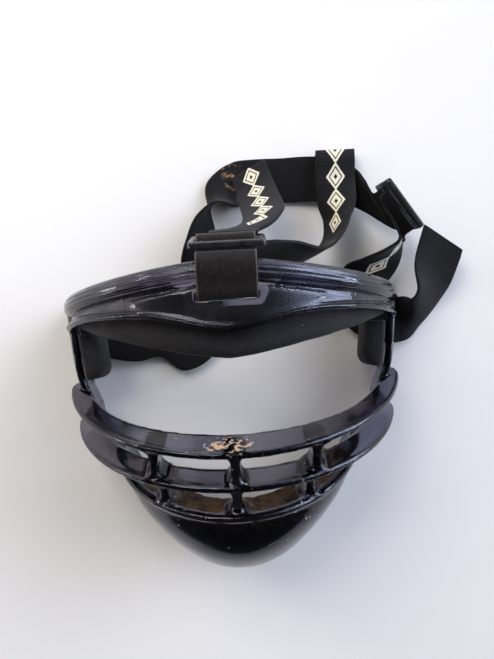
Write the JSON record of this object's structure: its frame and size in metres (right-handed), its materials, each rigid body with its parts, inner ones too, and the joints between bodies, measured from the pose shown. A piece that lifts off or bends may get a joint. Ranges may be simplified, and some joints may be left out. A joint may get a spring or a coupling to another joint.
{
  "type": "fielding face mask",
  "caption": "Softball fielding mask: a clear smoke shell with brow band, outward fins, webs and chin cup, foam pads, and an elastic head harness with slides, lying on its open back",
  "frame": {"origin": "under the middle of the whole object, on the surface that it lies on", "axes": "+Z out of the face and up, +Y from the chin towards the forehead, +X across the face to the right of the picture"},
  "size_m": [0.2224, 0.2202, 0.0945],
  "materials": {
    "polycarbonate": "clear smoke-navy moulding, glossy",
    "foam": "matt charcoal closed-cell foam",
    "webbing": "black woven elastic with a plain cream motif",
    "tab_webbing": "brown-black woven webbing, worn",
    "slide_plastic": "glossy black moulding"
  },
  "bodies": {
    "root": {"shell": "polycarbonate", "brow_pad": "foam", "temple_pad_left": "foam", "temple_pad_right": "foam", "chin_pad": "foam", "front_tab": "tab_webbing", "front_slide": "slide_plastic", "top_strap": "webbing", "rear_band": "webbing", "rear_slide": "slide_plastic", "side_strap_right": "webbing"}
  },
  "joints": []
}
